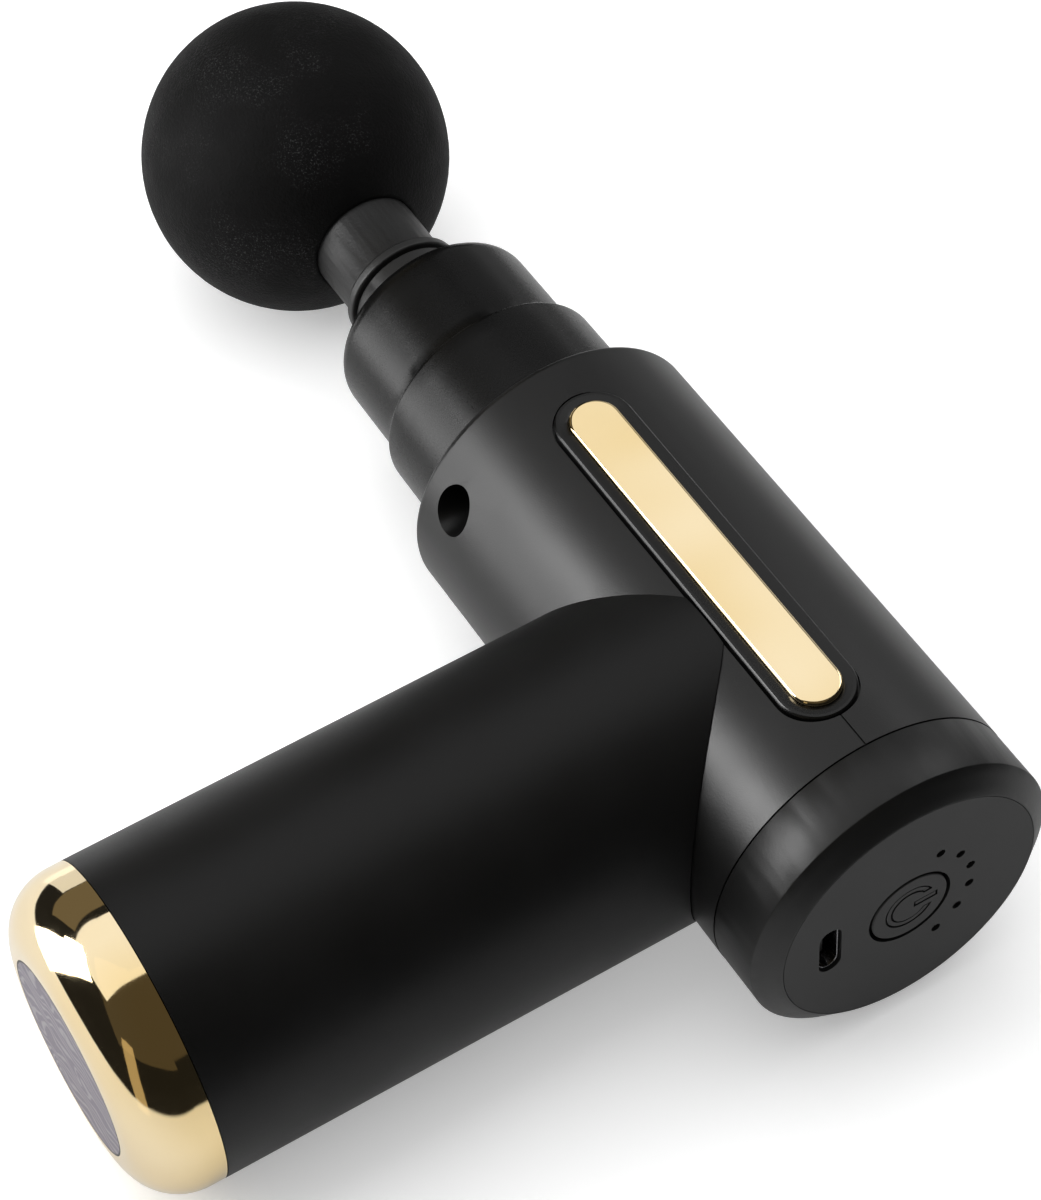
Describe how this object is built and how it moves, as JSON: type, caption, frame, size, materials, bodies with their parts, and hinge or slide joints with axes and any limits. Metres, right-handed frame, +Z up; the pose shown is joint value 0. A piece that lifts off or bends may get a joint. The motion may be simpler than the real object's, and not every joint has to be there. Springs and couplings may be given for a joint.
{
  "type": "massage gun",
  "caption": "Hand-held percussion massage gun: round barrel with stepped nose and ball head, round handle square to it, gold side strips and gold end cap.",
  "frame": {"origin": "crossing of the barrel and handle axes, dropped to the flat face of the lower gold strip that the gun lies on", "axes": "+X along the barrel towards the massage head, +Y along the handle towards its end, +Z up, away from the surface the gun lies on"},
  "size_m": [0.1922, 0.1286, 0.0484],
  "materials": {
    "shell_black": "satin",
    "ring_black": "satin",
    "panel_grey": "matte",
    "nose_black": "satin",
    "seal_rubber": "matte",
    "bezel_black": "gloss",
    "gold_plating": "polished",
    "grip_soft_touch": "matte",
    "label_grey": "matte",
    "inner_black": "matte",
    "screw_steel": "satin",
    "cell_wrap": "satin",
    "nickel": "satin",
    "circuit_green": "satin",
    "cast_aluminium": "satin",
    "bearing_steel": "polished",
    "stator_steel": "satin",
    "copper": "gloss",
    "magnet_grey": "satin",
    "piston_grey": "satin",
    "bronze": "satin",
    "acetal_white": "satin",
    "stem_grey": "satin",
    "ball_foam": "matte",
    "clear_light": "satin",
    "button_grey": "satin",
    "port_steel": "satin",
    "wire_yellow": "satin",
    "wire_red": "satin"
  },
  "bodies": {
    "casing": {"barrel_cover_half": "shell_black", "barrel_body_half": "shell_black", "rear_ring": "ring_black", "rear_panel": "panel_grey", "nose_cover": "nose_black", "nose_seal": "seal_rubber", "bezel_upper": "bezel_black", "bezel_lower": "bezel_black", "gold_trim_upper": "gold_plating", "gold_trim_lower": "gold_plating", "grip_sleeve": "grip_soft_touch", "end_cap": "gold_plating", "end_label": "label_grey", "end_plug": "inner_black", "plug_screws": "screw_steel", "battery_cells": "cell_wrap", "cell_holder_front": "inner_black", "cell_holder_rear": "inner_black", "nickel_tabs": "nickel", "protection_board": "circuit_green", "motor_base": "cast_aluminium", "motor_bearings": "bearing_steel", "stator_core": "stator_steel", "stator_windings": "copper", "motor_screws": "screw_steel", "guide_housing": "cast_aluminium", "guide_bush": "bronze", "damper_rings": "seal_rubber", "yoke_pads": "acetal_white", "switch_body": "inner_black", "light_guide": "clear_light", "status_leds": "clear_light", "control_board": "circuit_green", "board_parts": "inner_black", "usb_shell": "port_steel", "usb_tongue": "inner_black", "shell_screws": "screw_steel", "ring_screws": "screw_steel", "motor_wires": "wire_yellow", "battery_wires": "wire_red"},
    "rotor": {"rotor_can": "stator_steel", "rotor_magnets": "magnet_grey", "motor_shaft": "bearing_steel", "crank": "bearing_steel", "crank_set_screw": "screw_steel", "pin_bearing": "bearing_steel", "pin_clip": "screw_steel"},
    "piston": {"piston": "piston_grey"},
    "head": {"head_stem": "stem_grey", "stem_rings": "seal_rubber", "massage_ball": "ball_foam"},
    "power_button": {"power_button": "button_grey", "power_symbol": "button_grey", "switch_plunger": "acetal_white"}
  },
  "joints": [
    {"name": "motor_spin", "type": "hinge", "parent": "casing", "child": "rotor", "pos_m": [0, 0.015, 0.0242], "axis": [0, 1, 0], "range_deg": [-90, 90]},
    {"name": "piston_stroke", "type": "slide", "parent": "casing", "child": "piston", "axis": [1, 0, 0], "range_m": [-0.0036, 0.0036]},
    {"name": "head_pull_off", "type": "slide", "parent": "piston", "child": "head", "axis": [1, 0, 0], "range_m": [0, 0.027]},
    {"name": "button_press", "type": "slide", "parent": "casing", "child": "power_button", "axis": [1, 0, 0], "range_m": [0, 0.00045], "stiffness_N_per_m": 500}
  ],
  "couplings": [
    {"joint": "motor_spin", "follows": "piston_stroke", "rad_per_m": 436.33}
  ]
}
